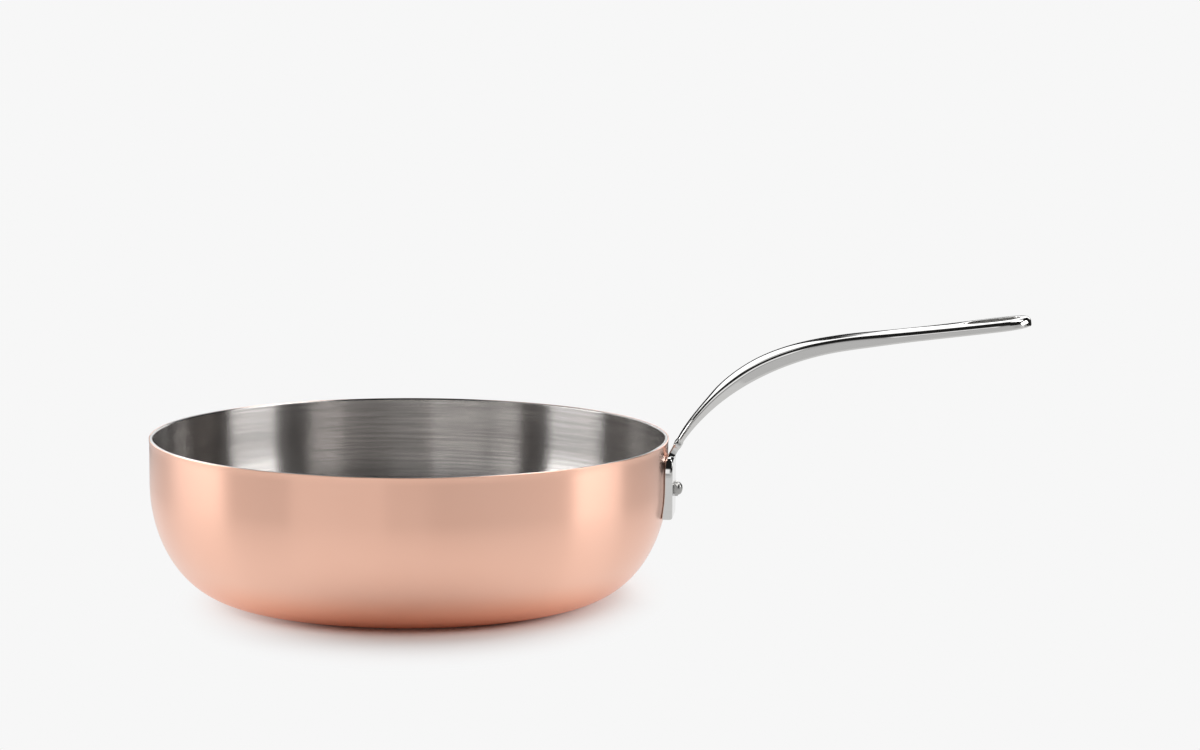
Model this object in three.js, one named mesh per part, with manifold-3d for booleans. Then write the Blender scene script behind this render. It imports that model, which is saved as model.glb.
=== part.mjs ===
// Saute pan: a pressed body of copper-clad sheet with one cast handle, held by a stud and a cap nut.
// Millimetres, +Z up. The origin is the centre of the base, and the handle points along +X.
import * as THREE from 'three';
import { mergeVertices } from 'three/addons/utils/BufferGeometryUtils.js';
import Module from 'manifold-3d';

// Body: a flat base, an elliptical corner, an upright wall and a lip that flares on the outside
const panHeight = 80.5;
const wallRadius = 131.3;
const baseRadius = 89.3;
const cornerRise = 58;
const lipRise = 4;
const lipFlare = 0.6;
const insideFlareShare = 0.1;
const roundSteps = 64;
const cornerSteps = 8;
const lipSteps = 2;

// Layers of the clad sheet, from the outside in
const copperThickness = 0.5;
const coreThickness = 1.3;
const liningThickness = 0.4;
const sheetThickness = copperThickness + coreThickness + liningThickness;
const bondLine = 0.03;

// Foot of the handle: an upright pad that follows the wall
const footWidth = 26;
const footBottom = 42;
const footTop = 72.8;
const footFace = 135;
const footDepth = 10;
const footCornerRadius = 2;
const footEdgeRadius = 1.1;
const footEdgeSteps = 3;
const seatGap = 0.3;

// Mid line of the handle, in the upright plane y = 0: a sweep out of the foot, then a straight run
const neckRoot = new THREE.Vector3(131.9, 0, 69.6);
const neckAngle = 66.4;
const neckReach = 37.5;
const runStart = new THREE.Vector3(223.9, 0, 132.7);
const runAngle = 7.9;
const runReach = 45.4;
const handleReach = 312.2;

// Half width, thickness and crown of the handle at distances along its mid line
const gripStations = [
  { at: 0, halfWidth: 8.5, thickness: 4.4, crown: 0.3 },
  { at: 4, halfWidth: 6.6, thickness: 4.0, crown: 0.3 },
  { at: 8.6, halfWidth: 5.7, thickness: 3.0, crown: 0.3 },
  { at: 10.8, halfWidth: 6.8, thickness: 4.2, crown: 0.3 },
  { at: 13.2, halfWidth: 6.0, thickness: 3.1, crown: 0.4 },
  { at: 16, halfWidth: 6.4, thickness: 3.0, crown: 0.6 },
  { at: 30, halfWidth: 8.0, thickness: 4.5, crown: 1.2 },
  { at: 58.5, halfWidth: 10.5, thickness: 6.5, crown: 1.7 },
  { at: 86, halfWidth: 10.7, thickness: 6.2, crown: 1.4 },
  { at: 116, halfWidth: 9.4, thickness: 5.7, crown: 1.2 },
  { at: 141, halfWidth: 8.7, thickness: 5.3, crown: 0.6 },
  { at: 166.5, halfWidth: 10.8, thickness: 5.1, crown: 0.3 },
  { at: 186.5, halfWidth: 12.4, thickness: 4.9, crown: 0.2 },
  { at: 212, halfWidth: 12.4, thickness: 4.8, crown: 0.2 },
];
const neckLength = 16;
const neckStep = 1;
const gripStep = 5;

// Section of the handle: a crowned top with round edges over a flat underside
const fullCrownFlat = 6;
const crownSteps = 3;
const topEdgeRadius = 2;
const topEdgeSteps = 3;
const bottomEdgeRadius = 0.8;
const bottomEdgeSteps = 2;
const slimEdgeShare = 0.4;

// Tip of the handle: round in plan, and round again where it thins out
const tipEdgeRadius = 2.3;
const tipSteps = 6;
const tipLastTurn = 7;

// Hanging hole: a teardrop, narrow towards the pan
const holeNarrowEnd = 286.6;
const holeNarrowRadius = 5.4;
const holeWideEnd = 299.8;
const holeWideRadius = 6.6;
const holeDepth = 24;
const holeSteps = 14;

// Fixing: a stud with a weld flange, and a cap nut
const fixingHeight = 56.5;
const studRadius = 2;
const studLength = 6.2;
const flangeRadius = 3.2;
const flangeThickness = 0.9;
const fixingClearance = 0.3;
const fixingSteps = 24;
const nutSides = 6;
const nutAcrossFlats = 7;
const nutHexHeight = 1.9;
const nutDomeRadius = 3.3;
const nutDomeHeight = 2.2;
const nutDomeSteps = 6;
const nutBoreDepth = 2.9;

// How far a cut runs past the metal, and how near two points are one point
const cutOverrun = 5;
const mergeTolerance = 1e-4;

const wasm = await Module();
wasm.setup();

// A closed geometry as a solid, with shared vertices merged and collapsed triangles left out
function toSolid(geometry) {
  const bare = geometry.clone();
  bare.deleteAttribute('normal');
  bare.deleteAttribute('uv');
  const merged = mergeVertices(bare, mergeTolerance);
  const corners = merged.index.array;
  const kept = [];
  for (let i = 0; i < corners.length; i += 3) {
    const [a, b, c] = [corners[i], corners[i + 1], corners[i + 2]];
    if (a !== b && b !== c && c !== a) kept.push(a, b, c);
  }
  return new wasm.Manifold(new wasm.Mesh({
    numProp: 3,
    vertProperties: new Float32Array(merged.attributes.position.array),
    triVerts: new Uint32Array(kept),
  }));
}

function toGeometry(solid) {
  const mesh = solid.getMesh();
  const geometry = new THREE.BufferGeometry();
  geometry.setAttribute('position', new THREE.BufferAttribute(mesh.vertProperties, 3));
  geometry.setIndex(new THREE.BufferAttribute(mesh.triVerts, 1));
  geometry.computeVertexNormals();
  return geometry;
}

// A profile of (radius, height) points turned about the upright axis
function revolve(profile) {
  return new THREE.LatheGeometry(profile, roundSteps).rotateX(Math.PI / 2);
}

// The body's outer profile, from the axis to the rim, moved inwards by a depth of metal
function bodyProfile(depth) {
  const points = [new THREE.Vector2(0, depth)];
  const cornerRun = wallRadius - baseRadius;
  for (let i = 0; i <= cornerSteps; i += 1) {
    const turn = (i / cornerSteps) * Math.PI / 2;
    const outward = new THREE.Vector2(Math.sin(turn) / cornerRun, -Math.cos(turn) / cornerRise).normalize();
    const onCorner = new THREE.Vector2(
      baseRadius + cornerRun * Math.sin(turn),
      cornerRise * (1 - Math.cos(turn)),
    );
    points.push(onCorner.addScaledVector(outward, -depth));
  }
  const flare = lipFlare * THREE.MathUtils.lerp(1, insideFlareShare, depth / sheetThickness);
  const lipRadius = (lipRise ** 2 + flare ** 2) / (2 * flare);
  const lipTurn = Math.asin(lipRise / lipRadius);
  for (let i = 0; i <= lipSteps; i += 1) {
    const turn = (i / lipSteps) * lipTurn;
    points.push(new THREE.Vector2(
      wallRadius - depth + lipRadius * (1 - Math.cos(turn)),
      panHeight - lipRise + lipRadius * Math.sin(turn),
    ));
  }
  return points;
}

// One layer of the clad sheet: up its outer face and down its inner face
function bodyLayer(outerDepth, innerDepth) {
  return revolve([...bodyProfile(outerDepth), ...bodyProfile(innerDepth).reverse()]);
}

// The space that the body fills, with the seat gap round it
function bodySpace() {
  return toSolid(revolve([...bodyProfile(-seatGap), new THREE.Vector2(0, panHeight)]));
}

// Turns shapes drawn in x and y, and extruded along z, to stand in y and z and point along +X
const towardsHandle = new THREE.Matrix4().makeBasis(
  new THREE.Vector3(0, 1, 0),
  new THREE.Vector3(0, 0, 1),
  new THREE.Vector3(1, 0, 0),
);

function roundedRectangle(width, low, high, radius) {
  const half = width / 2;
  const shape = new THREE.Shape();
  shape.moveTo(-half + radius, low);
  shape.lineTo(half - radius, low);
  shape.absarc(half - radius, low + radius, radius, -Math.PI / 2, 0);
  shape.lineTo(half, high - radius);
  shape.absarc(half - radius, high - radius, radius, 0, Math.PI / 2);
  shape.lineTo(-half + radius, high);
  shape.absarc(-half + radius, high - radius, radius, Math.PI / 2, Math.PI);
  shape.lineTo(-half, low + radius);
  shape.absarc(-half + radius, low + radius, radius, Math.PI, Math.PI * 1.5);
  return shape;
}

function footPad() {
  const outline = roundedRectangle(
    footWidth - 2 * footEdgeRadius,
    footBottom + footEdgeRadius,
    footTop - footEdgeRadius,
    footCornerRadius - footEdgeRadius,
  );
  const pad = new THREE.ExtrudeGeometry(outline, {
    depth: footDepth,
    bevelEnabled: true,
    bevelSize: footEdgeRadius,
    bevelThickness: footEdgeRadius,
    bevelSegments: footEdgeSteps,
    curveSegments: footEdgeSteps,
  });
  pad.translate(0, 0, footFace - footEdgeRadius - footDepth);
  return toSolid(pad.applyMatrix4(towardsHandle));
}

function alongAngle(degrees, length) {
  const angle = THREE.MathUtils.degToRad(degrees);
  return new THREE.Vector3(Math.cos(angle) * length, 0, Math.sin(angle) * length);
}

function handleMidLine() {
  const path = new THREE.CurvePath();
  path.add(new THREE.CubicBezierCurve3(
    neckRoot,
    neckRoot.clone().add(alongAngle(neckAngle, neckReach)),
    runStart.clone().sub(alongAngle(runAngle, runReach)),
    runStart,
  ));
  const runLength = (handleReach - runStart.x) / Math.cos(THREE.MathUtils.degToRad(runAngle));
  path.add(new THREE.LineCurve3(runStart, runStart.clone().add(alongAngle(runAngle, runLength))));
  return path;
}

// Points on a quarter of a circle that ends a quarter turn clockwise of where it starts
function roundEdge(across, up, radius, startDegrees, steps) {
  const points = [];
  for (let i = 0; i <= steps; i += 1) {
    const turn = THREE.MathUtils.degToRad(startDegrees - 90 * (i / steps));
    points.push([across + radius * Math.cos(turn), up + radius * Math.sin(turn)]);
  }
  return points;
}

// Outline of the handle across its length, as [across, up] points from the middle of the top
function gripSection(halfWidth, thickness, fullCrown) {
  const slimmest = slimEdgeShare * Math.min(halfWidth, thickness);
  const topEdge = Math.min(topEdgeRadius, slimmest);
  const bottomEdge = Math.min(bottomEdgeRadius, slimmest);
  const flat = halfWidth - topEdge;
  const top = thickness / 2;
  const crown = fullCrown * Math.min(1, flat / fullCrownFlat);
  const right = [];
  for (let i = 1; i < crownSteps; i += 1) {
    const share = i / crownSteps;
    right.push([flat * share, top + crown * (1 - share ** 2)]);
  }
  right.push(...roundEdge(flat, top - topEdge, topEdge, 90, topEdgeSteps));
  right.push(...roundEdge(halfWidth - bottomEdge, bottomEdge - top, bottomEdge, 0, bottomEdgeSteps));
  const left = right.map(([across, up]) => [-across, up]).reverse();
  return [[0, top + crown], ...right, ...left];
}

// Joins rings of points into one closed skin, with a fan over each end
function loft(rings) {
  const count = rings[0].length;
  const faces = [];
  for (let r = 0; r + 1 < rings.length; r += 1) {
    for (let i = 0; i < count; i += 1) {
      const next = (i + 1) % count;
      const [a, b] = [r * count + i, r * count + next];
      faces.push(a, b + count, b, a, a + count, b + count);
    }
  }
  const last = (rings.length - 1) * count;
  for (let i = 1; i + 1 < count; i += 1) {
    faces.push(0, i, i + 1);
    faces.push(last, last + i + 1, last + i);
  }
  const geometry = new THREE.BufferGeometry().setFromPoints(rings.flat());
  geometry.setIndex(faces);
  return geometry;
}

// Distances along the mid line at which the bar gets a section: close in the neck and round the tip
function sectionPlaces(length, tipRadius) {
  const places = [];
  for (let at = 0; at < neckLength; at += neckStep) places.push(at);
  for (let at = neckLength; at < length - tipRadius; at += gripStep) places.push(at);
  for (let i = 0; i <= tipSteps; i += 1) {
    const turn = THREE.MathUtils.degToRad(THREE.MathUtils.lerp(90, tipLastTurn, i / tipSteps));
    places.push(length - tipRadius * (1 - Math.cos(turn)));
  }
  return places;
}

// The handle's bar: the section swept along the mid line
function gripBar() {
  const path = handleMidLine();
  const length = path.getLength();
  const tipRadius = gripStations.at(-1).halfWidth;
  const sizes = new THREE.CubicInterpolant(
    gripStations.map((station) => station.at),
    gripStations.flatMap((station) => [station.halfWidth, station.thickness, station.crown]),
    3,
  );
  const rings = sectionPlaces(length, tipRadius).map((at) => {
    let [halfWidth, thickness, crown] = sizes.evaluate(at);
    const toTip = length - at;
    if (toTip < tipRadius) halfWidth = Math.sqrt(tipRadius ** 2 - (tipRadius - toTip) ** 2);
    if (toTip < tipEdgeRadius) {
      thickness -= 2 * (tipEdgeRadius - Math.sqrt(tipEdgeRadius ** 2 - (tipEdgeRadius - toTip) ** 2));
    }
    const centre = path.getPoint(at / length);
    const forward = path.getTangent(at / length);
    const upward = new THREE.Vector3(-forward.z, 0, forward.x);
    return gripSection(halfWidth, thickness, crown).map(([across, up]) => (
      new THREE.Vector3(0, across, 0).add(centre).addScaledVector(upward, up)
    ));
  });
  return toSolid(loft(rings));
}

// A teardrop prism: two arcs joined by their common tangents, run upright through the handle's end
function hangingHole() {
  const lean = Math.acos((holeWideRadius - holeNarrowRadius) / (holeWideEnd - holeNarrowEnd));
  const shape = new THREE.Shape();
  shape.absarc(holeWideEnd, 0, holeWideRadius, -Math.PI + lean, Math.PI - lean);
  shape.absarc(holeNarrowEnd, 0, holeNarrowRadius, Math.PI - lean, Math.PI + lean);
  const prism = new THREE.ExtrudeGeometry(shape, {
    depth: holeDepth,
    bevelEnabled: false,
    curveSegments: holeSteps,
  });
  return toSolid(prism.translate(0, 0, runStart.z));
}

// A bar on the fixing's axis, which lies along +X
function fixingBar(radius, from, to, sides = fixingSteps) {
  const bar = new THREE.CylinderGeometry(radius, radius, to - from, sides).rotateZ(-Math.PI / 2);
  return toSolid(bar.translate((from + to) / 2, 0, 0));
}

// The room for the stud and its flange in the foot
function fixingBore() {
  const wall = wallRadius - cutOverrun;
  const flangeRoom = wallRadius + seatGap + flangeThickness + fixingClearance;
  return fixingBar(studRadius + fixingClearance, wall, footFace + cutOverrun)
    .add(fixingBar(flangeRadius + fixingClearance, wall, flangeRoom))
    .translate([0, 0, fixingHeight]);
}

function castHandle() {
  return footPad()
    .add(gripBar())
    .subtract(bodySpace())
    .subtract(hangingHole())
    .subtract(fixingBore());
}

// The stud starts at its weld flange
function handleStud() {
  return fixingBar(flangeRadius, 0, flangeThickness).add(fixingBar(studRadius, 0, studLength));
}

// The nut starts at its seat: a hexagon with a dome on it and a blind bore
function domeNut() {
  const hexRadius = nutAcrossFlats / 2 / Math.cos(Math.PI / nutSides);
  const dome = [new THREE.Vector2(0, 0), new THREE.Vector2(nutDomeRadius, 0)];
  for (let i = 0; i < nutDomeSteps; i += 1) {
    const turn = (i / nutDomeSteps) * Math.PI / 2;
    dome.push(new THREE.Vector2(
      nutDomeRadius * Math.cos(turn),
      nutHexHeight + nutDomeHeight * Math.sin(turn),
    ));
  }
  dome.push(new THREE.Vector2(0, nutHexHeight + nutDomeHeight));
  const cap = new THREE.LatheGeometry(dome, fixingSteps).rotateZ(-Math.PI / 2);
  return fixingBar(hexRadius, 0, nutHexHeight, nutSides)
    .add(toSolid(cap))
    .subtract(fixingBar(studRadius + fixingClearance, -cutOverrun, nutBoreDepth));
}

const copper = new THREE.MeshStandardMaterial({ color: 0xe0a88c, roughness: 0.3, metalness: 1 });
const aluminium = new THREE.MeshStandardMaterial({ color: 0xc6c7c8, roughness: 0.45, metalness: 1 });
const brushedSteel = new THREE.MeshStandardMaterial({ color: 0xb3b0ab, roughness: 0.35, metalness: 1 });
const polishedSteel = new THREE.MeshStandardMaterial({ color: 0xcfcecb, roughness: 0.08, metalness: 1 });
const studSteel = new THREE.MeshStandardMaterial({ color: 0xa9a8a6, roughness: 0.4, metalness: 1 });

function addPiece(group, name, geometry, material) {
  const piece = new THREE.Mesh(geometry, material);
  piece.name = name;
  group.add(piece);
  return piece;
}

const body = new THREE.Group();
const coreDepth = copperThickness + coreThickness;
addPiece(body, 'copper_shell', bodyLayer(0, copperThickness - bondLine), copper);
addPiece(body, 'aluminium_core', bodyLayer(copperThickness, coreDepth - bondLine), aluminium);
addPiece(body, 'steel_lining', bodyLayer(coreDepth, sheetThickness), brushedSteel);

const handle = new THREE.Group();
addPiece(handle, 'cast_handle', toGeometry(castHandle()), polishedSteel);

const fixing = new THREE.Group();
fixing.position.z = fixingHeight;
addPiece(fixing, 'handle_stud', toGeometry(handleStud()), studSteel).position.x = wallRadius + seatGap;
addPiece(fixing, 'dome_nut', toGeometry(domeNut()), polishedSteel).position.x = footFace;
handle.add(fixing);

const pan = new THREE.Group();
pan.add(body, handle);

export default pan;
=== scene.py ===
# Saute pan of copper-clad sheet with a polished cast handle
import math

import bmesh
import bpy
import numpy as np
from mathutils import Matrix, Vector
from mathutils.geometry import interpolate_bezier


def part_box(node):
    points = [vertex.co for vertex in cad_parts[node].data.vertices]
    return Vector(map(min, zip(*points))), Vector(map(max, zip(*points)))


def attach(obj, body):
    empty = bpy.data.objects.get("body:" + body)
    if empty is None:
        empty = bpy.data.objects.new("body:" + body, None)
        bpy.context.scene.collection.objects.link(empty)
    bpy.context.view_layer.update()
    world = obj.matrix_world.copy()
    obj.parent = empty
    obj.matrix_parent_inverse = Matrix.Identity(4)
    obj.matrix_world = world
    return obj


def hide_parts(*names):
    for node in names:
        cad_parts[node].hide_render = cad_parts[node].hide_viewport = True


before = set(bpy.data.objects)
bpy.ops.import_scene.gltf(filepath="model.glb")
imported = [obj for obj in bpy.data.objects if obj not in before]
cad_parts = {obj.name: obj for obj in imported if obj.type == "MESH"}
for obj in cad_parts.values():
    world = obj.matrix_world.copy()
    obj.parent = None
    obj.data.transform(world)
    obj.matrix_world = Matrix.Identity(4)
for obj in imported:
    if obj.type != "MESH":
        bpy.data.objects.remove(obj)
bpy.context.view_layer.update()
scene = bpy.context.scene
scene.view_settings.view_transform = "Standard"
mm = 0.001
print("frame loaded:", len(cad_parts), "nodes")


# Camera, turned a little to the left, tilted down and rolled
view = {
    "place": (0.26443, -1.88128, 0.37652),
    "turn": 5.0925,
    "tilt": 7.9297,
    "roll": 0.418,
    "lens": 113.48,
    "sensor": 36,
    "clipEnd": 100,
}


def addCamera():
    data = bpy.data.cameras.new("camera")
    data.sensor_width = view["sensor"]
    data.lens = view["lens"]
    data.clip_end = view["clipEnd"]
    camera = bpy.data.objects.new("camera", data)
    turn = Matrix.Rotation(math.radians(view["turn"]), 4, "Z")
    tilt = Matrix.Rotation(math.radians(90 - view["tilt"]), 4, "X")
    roll = Matrix.Rotation(math.radians(view["roll"]), 4, "Z")
    camera.matrix_world = Matrix.Translation(view["place"]) @ turn @ tilt @ roll
    scene.collection.objects.link(camera)
    scene.camera = camera


addCamera()
print("camera placed")


# A shader socket that can be written into sums
class Wire:
    def __init__(self, tree, socket=None):
        self.tree = tree
        self.socket = socket

    def node(self, kind, settings, inputs, output=0):
        made = self.tree.nodes.new(kind)
        for name, value in settings.items():
            setattr(made, name, value)
        for name, value in inputs.items():
            if isinstance(value, Wire):
                self.tree.links.new(value.socket, made.inputs[name])
            else:
                made.inputs[name].default_value = value
        return Wire(self.tree, made.outputs[output] if made.outputs else None)

    def sum(self, operation, first, second):
        return self.node("ShaderNodeMath", {"operation": operation}, {0: first, 1: second})

    def __add__(self, other):
        return self.sum("ADD", self, other)

    def __radd__(self, other):
        return self.sum("ADD", other, self)

    def __sub__(self, other):
        return self.sum("SUBTRACT", self, other)

    def __rsub__(self, other):
        return self.sum("SUBTRACT", other, self)

    def __mul__(self, other):
        return self.sum("MULTIPLY", self, other)

    def __rmul__(self, other):
        return self.sum("MULTIPLY", other, self)

    def out(self, name):  # another output of the same node
        return Wire(self.tree, self.socket.node.outputs[name])


def vectorSum(wire, operation, first, second, output=0):
    return wire.node("ShaderNodeVectorMath", {"operation": operation}, {0: first, 1: second}, output)


def ease(wire, value, low, high):  # 0 at low, 1 at high
    inputs = {"Value": value, "From Min": low, "From Max": high}
    return wire.node("ShaderNodeMapRange", {"interpolation_type": "SMOOTHSTEP"}, inputs)


def blend(wire, factor, first, second):  # of two colours, by the Mix node's colour sockets
    return wire.node("ShaderNodeMix", {"data_type": "RGBA"}, {0: factor, 6: first, 7: second}, 2)


def noise(wire, vector, scale, detail, roughness):
    inputs = {"Vector": vector, "Scale": scale, "Detail": detail, "Roughness": roughness}
    return wire.node("ShaderNodeTexNoise", {}, inputs)


def bump(wire, height, depth):
    return wire.node("ShaderNodeBump", {}, {"Height": height, "Distance": depth})


def newMaterial(name):
    material = bpy.data.materials.new(name)
    material.use_nodes = True
    material.node_tree.nodes.clear()
    wire = Wire(material.node_tree)
    place = wire.node("ShaderNodeTexCoord", {}, {}, "Object")
    return material, wire, place


def finishMaterial(material, wire, inputs):
    shader = wire.node("ShaderNodeBsdfPrincipled", {}, inputs)
    wire.node("ShaderNodeOutputMaterial", {}, {"Surface": shader})
    return material


# Lines turned round the pan's axis, stacked along the pressed sheet from the middle of the base
def turnedLines(wire, place, finish):
    radius = vectorSum(wire, "LENGTH", vectorSum(wire, "MULTIPLY", place, (1, 1, 0)), (0, 0, 0), "Value")
    x = wire.node("ShaderNodeSeparateXYZ", {}, {0: place}, "X")
    stack = wire.node("ShaderNodeCombineXYZ", {}, {
        "X": x * finish["drift"],
        "Y": x.out("Y") * finish["drift"],
        "Z": (radius + x.out("Z")) * finish["linesPerMetre"],
    })
    return noise(wire, stack, *finish["lines"])


# Finishes: lines, clouds, waves, wipes, turning and grain are a noise's scale, detail and roughness
copperFinish = {
    "pale": (0.95, 0.585, 0.455, 1),
    "deep": (0.93, 0.55, 0.415, 1),
    "paintedBounce": (0.97, 0.46, 0.30, 1),  # painted bounce light: deeper, warmer tint round the base where copper and floor light each other
    # heights over which the painted bounce tint fades out
    "paintedBounceBelow": (4 * mm, 24 * mm),
    "clouds": (18, 3, 0.55),
    "roughness": 0.292,
    "roughLines": 0.008,
    "roughClouds": 0.02,
    "brushing": 0.95,
    "brushTurn": 0.25,  # share of a full turn
    "lines": (1, 3, 0.6),
    "linesPerMetre": 500,
    "drift": 8,  # how fast a line changes on its way round
    "lineDepth": 0.0001 * mm,
}


def copperMaterial():
    material, wire, place = newMaterial("satinCopper")
    lines = turnedLines(wire, place, copperFinish)
    clouds = noise(wire, place, *copperFinish["clouds"])
    height = wire.node("ShaderNodeSeparateXYZ", {}, {0: place}, "Z")
    # painted bounce light: the copper is tinted deeper near the base, fading out between those heights
    paintedBounce = 1 - ease(wire, height, *copperFinish["paintedBounceBelow"])
    colour = blend(wire, clouds, copperFinish["pale"], copperFinish["deep"])
    rough = copperFinish["roughness"] + (lines - 0.5) * copperFinish["roughLines"]
    return finishMaterial(material, wire, {
        "Base Color": blend(wire, paintedBounce, colour, copperFinish["paintedBounce"]),
        "Metallic": 1,
        "Roughness": rough + (clouds - 0.5) * copperFinish["roughClouds"],
        "Anisotropic": copperFinish["brushing"],
        "Anisotropic Rotation": copperFinish["brushTurn"],
        "Normal": bump(wire, lines, copperFinish["lineDepth"]),
    })


liningFinish = {
    "bright": (0.65, 0.627, 0.61, 1),
    "dull": (0.52, 0.50, 0.487, 1),
    "contrast": (0.35, 0.65),  # where a line turns from bright to dull
    "roughness": 0.25,
    "roughLines": 0.04,
    "brushing": 1,
    "brushTurn": 0.25,
    "lines": (1, 3, 0.6),
    "linesPerMetre": 800,
    "drift": 16,
    "lineDepth": 0.0001 * mm,
}


def liningMaterial():
    material, wire, place = newMaterial("brushedSteel")
    lines = turnedLines(wire, place, liningFinish)
    dulled = ease(wire, lines, *liningFinish["contrast"])
    return finishMaterial(material, wire, {
        "Base Color": blend(wire, dulled, liningFinish["bright"], liningFinish["dull"]),
        "Metallic": 1,
        "Roughness": liningFinish["roughness"] + (lines - 0.5) * liningFinish["roughLines"],
        "Anisotropic": liningFinish["brushing"],
        "Anisotropic Rotation": liningFinish["brushTurn"],
        "Normal": bump(wire, lines, liningFinish["lineDepth"]),
    })


coreFinish = {
    "bright": (0.56, 0.56, 0.56, 1),
    "dull": (0.44, 0.44, 0.44, 1),
    "roughness": 0.42,
    "roughLines": 0.2,
    "lines": (1, 2, 0.6),
    "linesPerMetre": 4000,
    "drift": 40,
}


def coreMaterial():
    material, wire, place = newMaterial("cutAluminium")
    lines = turnedLines(wire, place, coreFinish)
    return finishMaterial(material, wire, {
        "Base Color": blend(wire, lines, coreFinish["bright"], coreFinish["dull"]),
        "Metallic": 1,
        "Roughness": coreFinish["roughness"] + (lines - 0.5) * coreFinish["roughLines"],
    })


polishFinish = {
    "bright": (0.60, 0.595, 0.585, 1),
    "dull": (0.56, 0.555, 0.545, 1),
    "wipes": (1, 3, 0.6),
    "wipesPerMetre": (60, 900, 900),  # long strokes along the handle
    "roughness": 0.055,
    "roughWipes": 0.05,
    "waves": (45, 1, 0.4),
    "waveDepth": 0.03 * mm,
}


def polishMaterial():
    material, wire, place = newMaterial("polishedSteel")
    waves = noise(wire, place, *polishFinish["waves"])
    strokes = vectorSum(wire, "MULTIPLY", place, polishFinish["wipesPerMetre"])
    wipes = noise(wire, strokes, *polishFinish["wipes"])
    return finishMaterial(material, wire, {
        "Base Color": blend(wire, wipes, polishFinish["bright"], polishFinish["dull"]),
        "Metallic": 1,
        "Roughness": polishFinish["roughness"] + (wipes - 0.5) * polishFinish["roughWipes"],
        "Normal": bump(wire, waves, polishFinish["waveDepth"]),
    })


nutFinish = {
    "bright": (0.42, 0.415, 0.405, 1),
    "dull": (0.32, 0.315, 0.305, 1),
    "turning": (1, 2, 0.5),
    "turningPerMetre": (6000, 700, 700),  # closest along the nut's axis
    "roughness": 0.32,
    "roughTurning": 0.08,
}


def nutMaterial():
    material, wire, place = newMaterial("turnedSteel")
    rings = vectorSum(wire, "MULTIPLY", place, nutFinish["turningPerMetre"])
    turning = noise(wire, rings, *nutFinish["turning"])
    return finishMaterial(material, wire, {
        "Base Color": blend(wire, turning, nutFinish["bright"], nutFinish["dull"]),
        "Metallic": 1,
        "Roughness": nutFinish["roughness"] + (turning - 0.5) * nutFinish["roughTurning"],
    })


studFinish = {
    "bright": (0.62, 0.61, 0.6, 1),
    "dull": (0.5, 0.49, 0.48, 1),
    "grain": (2500, 2, 0.5),
    "roughness": 0.32,
    "roughGrain": 0.2,
}


def studMaterial():
    material, wire, place = newMaterial("plainSteel")
    grain = noise(wire, place, *studFinish["grain"])
    return finishMaterial(material, wire, {
        "Base Color": blend(wire, grain, studFinish["bright"], studFinish["dull"]),
        "Metallic": 1,
        "Roughness": studFinish["roughness"] + (grain - 0.5) * studFinish["roughGrain"],
    })


materials = {
    "copper": copperMaterial(),
    "core": coreMaterial(),
    "lining": liningMaterial(),
    "polished_steel": polishMaterial(),
    "stud_steel": studMaterial(),
    "nut": nutMaterial(),
}
print("materials made:", len(materials))


def addPiece(name, bm, node, slot, finish=None):
    bmesh.ops.recalc_face_normals(bm, faces=bm.faces)
    mesh = bpy.data.meshes.new(name)
    bm.to_mesh(mesh)
    bm.free()
    mesh.shade_smooth()
    mesh.materials.append(materials[finish or slot])
    piece = bpy.data.objects.new(name, mesh)
    scene.collection.objects.link(piece)
    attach(piece, "root")
    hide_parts(node)
    return piece


# Body: three bonded layers, each spun from its outer and inner outline
body = {
    "baseRadius": 89.3 * mm,
    "cornerRise": 58 * mm,
    "lipRise": 4 * mm,
    "lipFlare": 0.25 * mm,
    "flareLost": 0.9,  # share of the flare that is gone at the inside, which stays almost straight
    "solidFlare": 0.6 * mm,  # how far the solid's lip is taken to stand out from the wall
    "copper": (0 * mm, 0.37 * mm),  # depth of each layer's faces in the sheet
    "core": (0.4 * mm, 1.27 * mm),
    "lining": (1.3 * mm, 1.6 * mm),
    "rimEdge": 0.12 * mm,
    "rimSegments": 3,
    "turns": 192,
    "cornerSteps": 32,
    "lipSteps": 6,
    "sameRadius": 0.001 * mm,  # points closer than this are one
    "sameHeight": 0.01 * mm,
}
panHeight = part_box("copper_shell")[1].z
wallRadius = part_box("copper_shell")[1].y - body["solidFlare"]


def addOutline(bm, depth):
    cornerRun = wallRadius - body["baseRadius"]
    middle = bm.verts.new((0, 0, depth))
    corner = [bm.verts.new((0, 0, -1))]
    known = set(bm.verts)
    bmesh.ops.spin(bm, geom=corner, axis=(0, -1, 0), angle=math.pi / 2, steps=body["cornerSteps"])
    corner += [vert for vert in bm.verts if vert not in known]
    bmesh.ops.scale(bm, verts=corner, vec=(cornerRun - depth, 1, body["cornerRise"] - depth))
    bmesh.ops.translate(bm, verts=corner, vec=(body["baseRadius"], 0, body["cornerRise"]))
    flare = body["lipFlare"] * (1 - body["flareLost"] * depth / body["lining"][1])
    lipRadius = (body["lipRise"] ** 2 + flare ** 2) / (2 * flare)
    lip = [bm.verts.new((wallRadius - depth, 0, panHeight - body["lipRise"]))]
    known = set(bm.verts)
    centre = (wallRadius - depth + lipRadius, 0, panHeight - body["lipRise"])
    lean = math.asin(body["lipRise"] / lipRadius)
    bmesh.ops.spin(bm, geom=lip, cent=centre, axis=(0, 1, 0), angle=lean, steps=body["lipSteps"])
    lip += [vert for vert in bm.verts if vert not in known]
    bm.edges.new((middle, min(corner, key=lambda vert: vert.co.z)))
    bm.edges.new((max(corner, key=lambda vert: vert.co.z), min(lip, key=lambda vert: vert.co.z)))
    return max(lip, key=lambda vert: vert.co.z)


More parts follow.
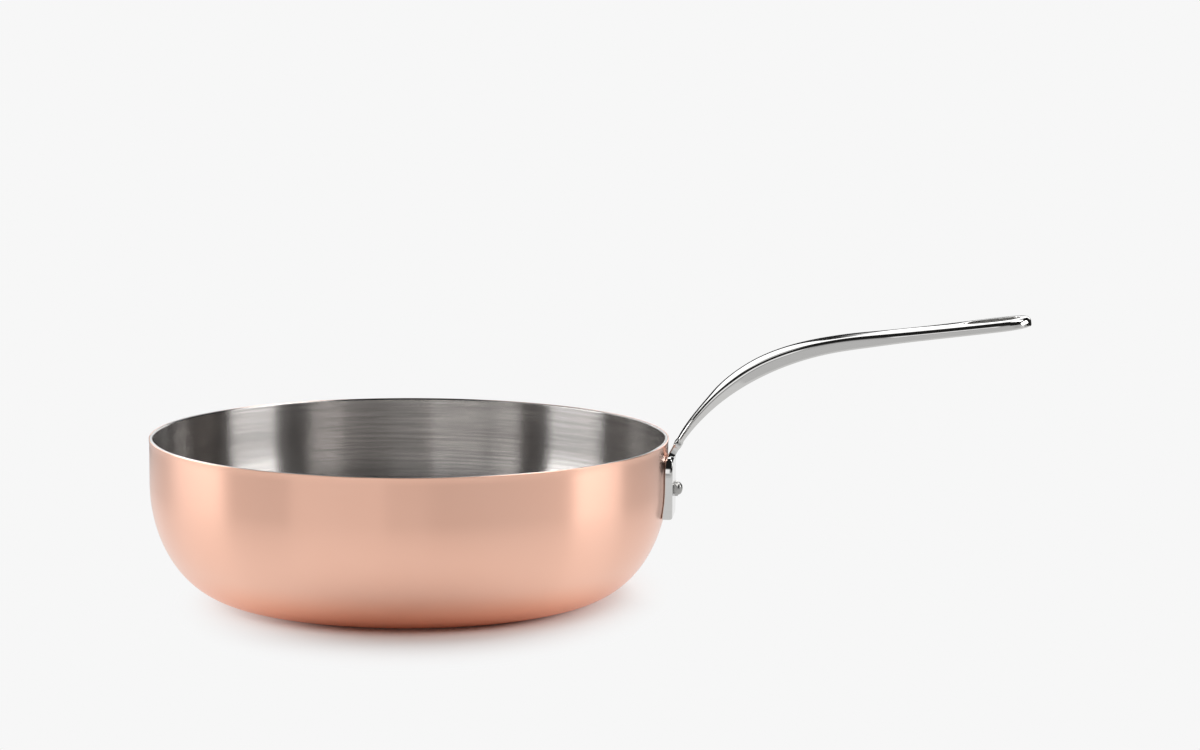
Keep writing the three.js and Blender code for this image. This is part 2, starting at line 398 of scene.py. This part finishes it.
def addLayer(name, node, slot):
    bm = bmesh.new()
    outerRim = addOutline(bm, body[slot][0])
    innerRim = addOutline(bm, body[slot][1])
    bm.edges.new((outerRim, innerRim))
    outline = bm.verts[:] + bm.edges[:]
    bmesh.ops.spin(bm, geom=outline, axis=(0, 0, 1), angle=math.tau, steps=body["turns"], use_merge=True)
    bmesh.ops.remove_doubles(bm, verts=bm.verts, dist=body["sameRadius"])
    rims = []
    for edge in bm.edges:
        first, second = (vert.co for vert in edge.verts)
        onTop = min(first.z, second.z) > panHeight - body["sameHeight"]
        if onTop and abs(first.xy.length - second.xy.length) < body["sameRadius"]:
            rims.append(edge)
    bmesh.ops.bevel(
        bm, geom=rims, offset=body["rimEdge"], affect="EDGES", segments=body["rimSegments"],
        profile=0.5, material=-1)
    addPiece(name, bm, node, slot)


addLayer("copperSkin", "copper_shell", "copper")
addLayer("aluminiumLayer", "aluminium_core", "core")
addLayer("steelInside", "steel_lining", "lining")
print("body spun: height", round(panHeight / mm, 1), "mm, wall radius", round(wallRadius / mm, 1), "mm")


# Handle, in millimetres: one casting, laid out flat as (along, across, up), then bent onto its mid line
handle = {
    "neckRoot": (131.9, 0, 69.6),
    "neckAngle": 66.4,
    "neckReach": 37.5,
    "runStart": (223.9, 0, 132.7),
    "runAngle": 7.9,
    "runReach": 45.4,
    "lineSteps": 160,
    "lookAhead": 0.6,  # along the mid line, to find its direction
    "footFace": 134.9,
    "footBottom": 42,
    "footTop": 72.8,
    "footPast": 0.5,  # how far past its top the foot stays upright
    "footHalf": 13,
    "footCorner": 2,
    "footEdges": (0.4, 1.1),  # radius at the wall and at the face
    "footColumns": (0, 3.4),
    "footTurns": (  # degrees that the lowest rows' columns face: 90 is sideways, 180 is down
        (180, 180, 180, 157, 135), (180, 180, 180, 135, 113), (180, 180, 135, 90, 90)),
    "footRows": (  # height, half width and facing of the edge, height of the middle
        (48.5, 13, 90, 48.5), (53, 13, 90, 53), (56.5, 13, 90, 56.5), (60, 13, 90, 60),
        (64, 13, 89, 64), (66.8, 12.8, 78, 66.6), (69.8, 12.1, 64, 69.4), (72, 11, 48, 71.6),
        (72.8, 9.2, 15, 72.7)),
    "seatGap": 0.08,  # between the foot and the wall
    "studRow": 5,  # the row of the stud's middle
    "studHole": (4.1, 2.7),  # radius at the wall and at the face
    "stations": (  # along, half width, thickness, crown, radius of the top and bottom edges
        (3, 6.3, 3.4, 0.2, 0.4, 0.4), (6, 6.2, 3.2, 0.2, 0.4, 0.4), (8.8, 6.1, 3.1, 0.2, 0.4, 0.4),
        (9.8, 6.4, 3.7, 0.2, 0.8, 0.7), (10.8, 6.55, 4.2, 0.2, 1.1, 0.9), (11.8, 6.4, 3.8, 0.2, 0.9, 0.8),
        (12.8, 6.1, 3.1, 0.3, 1.3, 0.5), (16, 6.4, 3.2, 0.6, 1.5, 0.5), (30, 8.0, 4.6, 0.3, 2.2, 0.6),
        (37, 8.7, 5.25, 0.3, 2.3, 0.6), (44, 9.4, 5.9, 1.1, 2.4, 0.6), (54, 10.2, 6.8, 1.3, 2.4, 0.6),
        (67, 10.6, 7.7, 1.1, 2.3, 0.6), (78, 10.7, 7.7, 0.9, 2.1, 0.6), (89, 10.6, 7.3, 0.8, 1.8, 0.6),
        (104, 9.9, 6.6, 0.08, 1.7, 0.6), (120, 9.2, 6.5, 0.08, 1.8, 0.6), (141, 8.7, 5.4, 0.9, 2.0, 0.6),
        (166.5, 10.8, 5.1, 0.2, 2.0, 0.6), (186.5, 12.4, 4.9, 0.2, 2.0, 0.6),
        (240, 12.4, 4.7, 0.2, 2.0, 0.8)),
    "aboveLine": (  # along, share of the thickness above the mid line
        (16, 0.5), (44, 0.55), (54, 0.57), (67, 0.6), (78, 0.6), (89, 0.585), (104, 0.56),
        (141, 0.52), (166.5, 0.5)),
    "flatShare": (  # along, how far across the top its crown is spread
        (22, 0.5), (29, 0.85), (38, 0.85), (46, 0.5), (88, 0.5), (98, 0.85), (122, 0.85), (136, 0.5)),
    "leastFlat": 0.1,  # half width of the flat between two edges
    "barRows": (5, 7, 8.8, 9.8, 10.8, 11.8, 12.8, 15.5, 19, 24, 30, 37, 44, 51, 58.5, 67, 76, 86, 96,
                106, 116, 126, 136, 146, 155, 163),
    "roundEnd": 12.4,
    "endFacing": 81,  # of the edge where the round end begins
    "endTurns": (  # the same for the end's rows, from the last: 0 is out along the handle
        (0, 11, 22, 33, 45), (0, 15, 30, 45, 56), (0, 18, 45, 68, 68)),
    "holeEdge": (32.5, 26.5, 18.5, 13),  # the outside's rows beside the hanging hole, back from the tip
    "holeRing": ((32, 3.9), (26.6, 5.8), (18.5, 6.9), (11, 6.6), (6.4, 4.4)),  # back, half width
    "holeEnds": (34, 5),  # its two ends on the middle column
    "holeRound": 0.4,
    "holeSegments": 2,
    "midRound": 0.22,  # inset of an edge's middle loop, as a share of its radius
    "wallLoops": (0.2, 0.78),  # loops that keep the sides flat, from the bottom up
    "levels": 3,  # of subdivision
}
stationNames = ("along", "half", "thickness", "crown", "topEdge", "bottomEdge")
sideColumns = 4  # on each side of the middle one
edgeLoops = 3  # that round an edge
flatLevel = edgeLoops - 1  # the loop where the flat begins
barStart = edgeLoops + len(handle["footRows"])  # rows are counted from the foot's bottom to the tip
holeStart = barStart + len(handle["barRows"])
holeStop = holeStart + len(handle["holeRing"])
rows = holeStop + edgeLoops
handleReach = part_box("cast_handle")[1].x / mm


def midLine():
    root = Vector(handle["neckRoot"])
    start = Vector(handle["runStart"])
    neck = math.radians(handle["neckAngle"])
    run = math.radians(handle["runAngle"])
    rootPull = root + handle["neckReach"] * Vector((math.cos(neck), 0, math.sin(neck)))
    startPull = start - handle["runReach"] * Vector((math.cos(run), 0, math.sin(run)))
    points = interpolate_bezier(root, rootPull, startPull, start, handle["lineSteps"])
    rest = handleReach - start.x
    points.append(start + Vector((rest, 0, rest * math.tan(run))))
    return np.array([(point.x, point.z) for point in points])


line = midLine()
lineAt = np.concatenate(([0], np.cumsum(np.hypot(*np.diff(line, axis=0).T))))
handleLength = lineAt[-1]
footAt = float(np.interp(handle["footTop"], line[:, 1], lineAt))  # where the mid line leaves the foot
footMiddle = float(np.interp(handle["footTop"], line[:, 1], line[:, 0]))


def onLine(at):
    return np.array([np.interp(at, lineAt, line[:, 0]), np.interp(at, lineAt, line[:, 1])])


def bend(flat):
    if flat.x < footAt + handle["footPast"]:
        return Vector((footMiddle - flat.z, flat.y, handle["footTop"] + flat.x - footAt)) * mm
    step = handle["lookAhead"]
    point = onLine(flat.x)
    ahead = onLine(min(flat.x + step, handleLength)) - onLine(min(flat.x, handleLength - step) - step)
    ahead /= np.hypot(*ahead)
    return Vector((point[0] - ahead[1] * flat.z, flat.y, point[1] + ahead[0] * flat.z)) * mm


def wallAt(height):  # radius of the copper's outside
    rise = body["cornerRise"] / mm
    if height > rise:
        return wallRadius / mm
    swing = math.acos(1 - height / rise)
    return (body["baseRadius"] + (wallRadius - body["baseRadius"]) * math.sin(swing)) / mm


def sizeAt(at, name):
    stations = np.array(handle["stations"])
    return float(np.interp(at, stations[:, 0], stations[:, stationNames.index(name)]))


def shareAt(at, name):
    return float(np.interp(at, *zip(*handle[name])))


def edgePoint(at, across, turn, inset):
    return at - inset * math.cos(math.radians(turn)), across - inset * math.sin(math.radians(turn))


def roundOff(level, radius):  # inset and drop of an edge's loops
    middle = handle["midRound"] * radius
    return ((0, radius), (middle, middle), (radius, 0))[level]


def footPoint(row, side, top):
    radius = handle["footEdges"][0 if top else 1]
    bottom = handle["footBottom"]
    corner = handle["footCorner"]
    inward = sideColumns - side
    if row < edgeLoops:
        inset, drop = roundOff(min(row, inward, flatLevel), radius)
        turn = handle["footTurns"][row][side]
        if turn == 180:
            across = (*handle["footColumns"], handle["footHalf"] - corner)[side]
            height, across = edgePoint(bottom, across, turn, inset)
        else:
            swing = math.radians(turn)
            height = bottom + corner + (corner - inset) * math.cos(swing)
            across = handle["footHalf"] - corner + (corner - inset) * math.sin(swing)
    else:
        height, across, turn, middle = handle["footRows"][row - edgeLoops]
        if inward <= flatLevel:
            inset, drop = roundOff(inward, radius)
            height, across = edgePoint(height, across, turn, inset)
        else:
            height, across, drop = middle, handle["footColumns"][side], 0
    return height, across, drop


def layFoot(row, side, top):
    height, across, drop = footPoint(row, side, top)
    if abs(row - handle["studRow"]) <= 1 and side <= 1:  # round the stud
        turn = math.atan2(row - handle["studRow"], side)
        radius = handle["studHole"][0 if top else 1]
        across = radius * math.cos(turn)
        height = handle["footRows"][handle["studRow"] - edgeLoops][0] + radius * math.sin(turn)
    seat = math.sqrt((wallAt(height) + handle["seatGap"]) ** 2 - across ** 2)
    up = footMiddle - seat - drop if top else footMiddle - handle["footFace"] + drop
    return footAt + height - handle["footTop"], across, up


def layBar(row, side, top):
    holeRow = row - holeStart
    endRow = rows - 1 - row
    inward = sideColumns - side
    if endRow > edgeLoops:
        turn = 90
        at = handle["barRows"][row - barStart] if holeRow < 0 else handleLength - handle["holeEdge"][holeRow]
        across = sizeAt(at, "half")
    else:
        turn = handle["endTurns"][endRow][side] if endRow < edgeLoops else handle["endFacing"]
        at = handleLength - handle["roundEnd"] * (1 - math.cos(math.radians(turn)))
        across = handle["roundEnd"] * math.sin(math.radians(turn))
    level = min(endRow, inward, flatLevel)
    radius = sizeAt(at, "topEdge" if top else "bottomEdge")
    thickness = sizeAt(at, "thickness")
    inset, drop = roundOff(level, radius)
    if min(endRow, inward) <= flatLevel:
        at, across = edgePoint(at, across, turn, inset)
    elif holeRow < 0:
        across = (across - radius) * side * shareAt(at, "flatShare")
    else:
        back, across = handle["holeRing"][holeRow]
        if side == 0:
            back, across = handle["holeEnds"][0 if holeRow == 0 else 1], 0
        at = handleLength - back
    flatHalf = max(sizeAt(at, "half") - radius, handle["leastFlat"])
    crown = sizeAt(at, "crown") * max(0, 1 - (across / flatHalf) ** 2) if level == flatLevel else 0
    share = shareAt(at, "aboveLine")
    up = share * thickness + crown - drop if top else drop - (1 - share) * thickness
    return at, across, up


def layFlat(row, column, top):
    lay = layFoot if row < barStart else layBar
    at, across, up = lay(row, abs(column), top)
    return Vector((at, math.copysign(1, column) * across, up))


def addHandle():
    bm = bmesh.new()
    bmesh.ops.create_grid(bm, x_segments=rows - 1, y_segments=2 * sideColumns, size=1)

    def cell(vert):
        row = round((vert.co.x + 1) / 2 * (rows - 1))
        return row, round((vert.co.y + 1) * sideColumns) - sideColumns

    spare = []  # points inside the hanging hole and the stud's hole
    for vert in bm.verts:
        row, column = cell(vert)
        hung = column == 0 and holeStart < row < holeStop - 1
        if hung or (row, column) == (handle["studRow"], 0):
            spare.append(vert)
    bmesh.ops.delete(bm, geom=spare, context="VERTS")
    lift = bm.verts.layers.float.new("lift")
    raised = bmesh.ops.extrude_face_region(bm, geom=bm.faces[:])["geom"]
    for item in raised:
        if isinstance(item, bmesh.types.BMVert):
            item[lift] = 1
    uprights = [edge for edge in bm.edges if edge.verts[0][lift] != edge.verts[1][lift]]
    bmesh.ops.subdivide_edges(bm, edges=uprights, cuts=len(handle["wallLoops"]), use_grid_fill=True)
    cells = {vert: cell(vert) for vert in bm.verts}
    ring = []  # edges round the hanging hole, above and below
    for edge in bm.edges:
        heights = {vert[lift] for vert in edge.verts}
        walls = [face for face in edge.link_faces if any(0 < vert[lift] < 1 for vert in face.verts)]
        hung = all(abs(cells[vert][1]) <= 1 and holeStart <= cells[vert][0] < holeStop for vert in edge.verts)
        if hung and len(walls) == 1 and heights in ({0}, {1}):
            ring.append(edge)
    shares = (0, *handle["wallLoops"], 1)
    for vert in bm.verts:
        low = layFlat(*cells[vert], False)
        high = layFlat(*cells[vert], True)
        vert.co = low.lerp(high, shares[round(vert[lift] * (len(shares) - 1))])
    bmesh.ops.bevel(
        bm, geom=ring, offset=handle["holeRound"], affect="EDGES", segments=handle["holeSegments"],
        profile=0.5, material=-1)
    for vert in bm.verts:
        vert.co = bend(vert.co)
    piece = addPiece("castHandle", bm, "cast_handle", "polished_steel")
    smooth = piece.modifiers.new("rounding", "SUBSURF")
    smooth.levels = smooth.render_levels = handle["levels"]


addHandle()
print("handle cast: mid line", round(handleLength, 1), "mm")


# Cap nut on the stud: a hexagon with its corners turned off and a dome
nut = {
    "acrossFlats": 7 * mm,
    "hexHeight": 1.9 * mm,
    "turnedOff": 0.35 * mm,
    "neckRadius": 3.3 * mm,
    "domeHeight": 2.2 * mm,
    "domeRings": 7,
    "points": 48,
    "sharpFrom": 35,  # degrees between two faces
}


def addNut():
    bm = bmesh.new()
    bmesh.ops.create_circle(bm, cap_ends=True, segments=nut["points"], radius=nut["acrossFlats"] / 2)
    for vert in bm.verts:
        turn = math.atan2(vert.co.y, vert.co.x) % (math.pi / 3) - math.pi / 6
        vert.co.xy /= math.cos(turn)
    cap = bm.faces[:]

    def raiseCap(height, radius=None):
        grown = bmesh.ops.extrude_face_region(bm, geom=cap)["geom"]
        bmesh.ops.delete(bm, geom=cap, context="FACES")
        cap[:] = [item for item in grown if isinstance(item, bmesh.types.BMFace)]
        for vert in cap[0].verts:
            vert.co.z = height
            if radius:
                vert.co.xy = vert.co.xy.normalized() * radius

    raiseCap(nut["hexHeight"] - nut["turnedOff"])
    raiseCap(nut["hexHeight"], nut["acrossFlats"] / 2)
    raiseCap(nut["hexHeight"], nut["neckRadius"])
    for ring in range(1, nut["domeRings"]):
        swing = math.pi / 2 * ring / nut["domeRings"]
        height = nut["hexHeight"] + nut["domeHeight"] * math.sin(swing)
        raiseCap(height, nut["neckRadius"] * math.cos(swing))
    tip = bmesh.ops.poke(bm, faces=cap)["verts"][0]
    tip.co.z = nut["hexHeight"] + nut["domeHeight"]
    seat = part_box("dome_nut")
    place = Matrix.Translation((seat[0].x, 0, (seat[0].z + seat[1].z) / 2))
    bmesh.ops.transform(bm, verts=bm.verts, matrix=place @ Matrix.Rotation(math.pi / 2, 4, "Y"))
    piece = addPiece("capNut", bm, "dome_nut", "polished_steel", "nut")
    piece.data.set_sharp_from_angle(angle=math.radians(nut["sharpFrom"]))


addNut()
stud = bpy.data.objects["handle_stud"]
stud.data.materials.clear()
stud.data.materials.append(materials["stud_steel"])
print("nut and stud fitted")


# Floor: lit near the pan, plain white to the camera and in the metal further out
floor = {
    "front": -0.6,
    "back": 0.45,
    "half": 10,
    "colour": (0.88, 0.88, 0.88, 1),
    "roughness": 0.6,
    "roughGrain": 0.1,
    "grain": (3, 2, 0.5),
    "gloss": 0.35,
    "white": (0.93, 0.93, 0.93, 1),
    "lit": 0.1,  # how far from its middle the lamps' light shows in full
    "plain": 0.19,  # where only the white is left
    "middle": (0.01, 0, 0),  # of the lit patch
    "squeeze": (1.5, 1, 1),  # it reaches less far to the sides
}


def addFloor():
    material, wire, place = newMaterial("paleFloor")
    grain = noise(wire, place, *floor["grain"])
    shader = wire.node("ShaderNodeBsdfPrincipled", {}, {
        "Base Color": floor["colour"],
        "Roughness": floor["roughness"] + (grain - 0.5) * floor["roughGrain"],
        "Specular IOR Level": floor["gloss"],
    })
    out = vectorSum(wire, "MULTIPLY", vectorSum(wire, "SUBTRACT", place, floor["middle"]), floor["squeeze"])
    radius = vectorSum(wire, "LENGTH", out, (0, 0, 0), "Value")
    plain = ease(wire, radius, floor["lit"], floor["plain"])
    seen = wire.node("ShaderNodeLightPath", {}, {}, "Is Camera Ray")
    shown = seen + seen.out("Is Glossy Ray")
    white = wire.node("ShaderNodeEmission", {}, {"Color": floor["white"], "Strength": 1})
    mixed = wire.node("ShaderNodeMixShader", {}, {0: plain * shown, 1: shader, 2: white})
    wire.node("ShaderNodeOutputMaterial", {}, {"Surface": mixed})
    bm = bmesh.new()
    bmesh.ops.create_grid(bm, x_segments=1, y_segments=1, size=1)
    depth = floor["back"] - floor["front"]
    bmesh.ops.scale(bm, verts=bm.verts, vec=(floor["half"], depth / 2, 1))
    bmesh.ops.translate(bm, verts=bm.verts, vec=(0, floor["front"] + depth / 2, 0))
    mesh = bpy.data.meshes.new("floor")
    bm.to_mesh(mesh)
    bm.free()
    mesh.materials.append(material)
    plane = bpy.data.objects.new("floor", mesh)
    scene.collection.objects.link(plane)


# Studio: lamps near the pan and far panels in a dark room
studio = {
    "front": 8.0,  # where the camera stands, in degrees to the right of the pan's front
    "walls": 0.02,
    "edge": 3,  # softness of a panel's lower and upper edge
    "panels": {  # degrees to the right of the camera, and above the table
        "backdrop": {
            "at": 159, "half": 16, "soft": 1, "low": 6.5, "high": 21, "edge": 0.5, "level": 1.8},
        "leftBackdrop": {
            "at": 194, "half": 19, "soft": 1, "low": 9.5, "high": 21, "edge": 0.5, "level": 1.8},
        "backLeft": {"at": -155, "half": 35, "soft": 2, "low": 20, "high": 50, "level": 1.8},
        "highRight": {"at": 125, "half": 40, "soft": 6, "low": 50, "high": 72, "level": 5.4},
        "highLeft": {"at": -95, "half": 36, "soft": 6, "low": 48, "high": 70, "level": 0.9},
        "frontLeft": {"at": -32, "half": 21, "soft": 2, "low": 3, "high": 16, "level": 1.35},
        "frontMiddle": {"at": -2, "half": 10, "soft": 5, "low": 3, "high": 16, "level": 0.45},
        "lowLeft": {"at": -66, "half": 13, "soft": 4, "low": 0, "high": 4, "level": 0.8},
        "lowRight": {"at": 35, "half": 47, "soft": 6, "low": 0, "high": 4, "level": 0.95},
        "frontFloor": {"at": 0, "half": 95, "soft": 10, "low": -95, "high": -1, "level": 0.73},
    },
    "background": 0.93,
}
lamps = {  # place of the middle, where it looks, width and height, level of brightness
    "leftStrip": {
        "place": (-0.415, -0.01, 0.22), "to": (0, -0.01, 0.22), "size": (0.27, 0.16), "level": 7.0},
    "rightStrip": {
        "place": (0.705, 0.04, 0.28), "to": (0, 0.04, 0.28), "size": (0.35, 0.26), "level": 5.5},
    "floorFill": {  # not seen in the metal
        "place": (0.1, -1, 1.1), "to": (0, -0.1, 0), "size": (1.2, 0.8), "level": 2.0, "shines": False},
}


def addLamp(name, lamp):
    data = bpy.data.lights.new(name, "AREA")
    data.shape = "RECTANGLE"
    data.size, data.size_y = lamp["size"]
    data.energy = lamp["level"] * math.pi * data.size * data.size_y
    holder = bpy.data.objects.new(name, data)
    holder.location = lamp["place"]
    holder.visible_glossy = lamp.get("shines", True)
    holder.rotation_euler = (Vector(lamp["to"]) - Vector(lamp["place"])).to_track_quat("-Z", "Y").to_euler()
    scene.collection.objects.link(holder)


def addStudio():
    world = bpy.data.worlds.new("studio")
    world.use_nodes = True
    world.node_tree.nodes.clear()
    wire = Wire(world.node_tree)
    toward = wire.node("ShaderNodeTexCoord", {}, {}, "Generated")
    flat = vectorSum(wire, "NORMALIZE", vectorSum(wire, "MULTIPLY", toward, (1, 1, 0)), (0, 0, 0))
    height = wire.node("ShaderNodeSeparateXYZ", {}, {0: toward}, "Z")
    lift = wire.node("ShaderNodeMath", {"operation": "ARCSINE"}, {0: height})
    level = studio["walls"]
    for panel in studio["panels"].values():
        half, soft, low, high = (math.radians(panel[name]) for name in ("half", "soft", "low", "high"))
        edge = math.radians(panel.get("edge", studio["edge"]))
        turn = math.radians(panel["at"] + studio["front"])
        along = vectorSum(wire, "DOT_PRODUCT", flat, (math.sin(turn), -math.cos(turn), 0), "Value")
        apart = wire.node("ShaderNodeMath", {"operation": "ARCCOSINE"}, {0: along})
        inside = 1 - ease(wire, apart, half - soft, half + soft)
        above = ease(wire, lift, low - edge, low + edge)
        below = 1 - ease(wire, lift, high - edge, high + edge)
        level = level + panel["level"] * inside * above * below
    seen = wire.node("ShaderNodeLightPath", {}, {}, "Is Camera Ray")
    level = level * (1 - seen) + studio["background"] * seen
    shade = wire.node("ShaderNodeBackground", {}, {"Color": (1, 1, 1, 1), "Strength": level})
    wire.node("ShaderNodeOutputWorld", {}, {"Surface": shade})
    scene.world = world


addFloor()
for name, lamp in lamps.items():
    addLamp(name, lamp)
addStudio()
print("studio lit:", len(lamps), "lamps and", len(studio["panels"]), "panels")
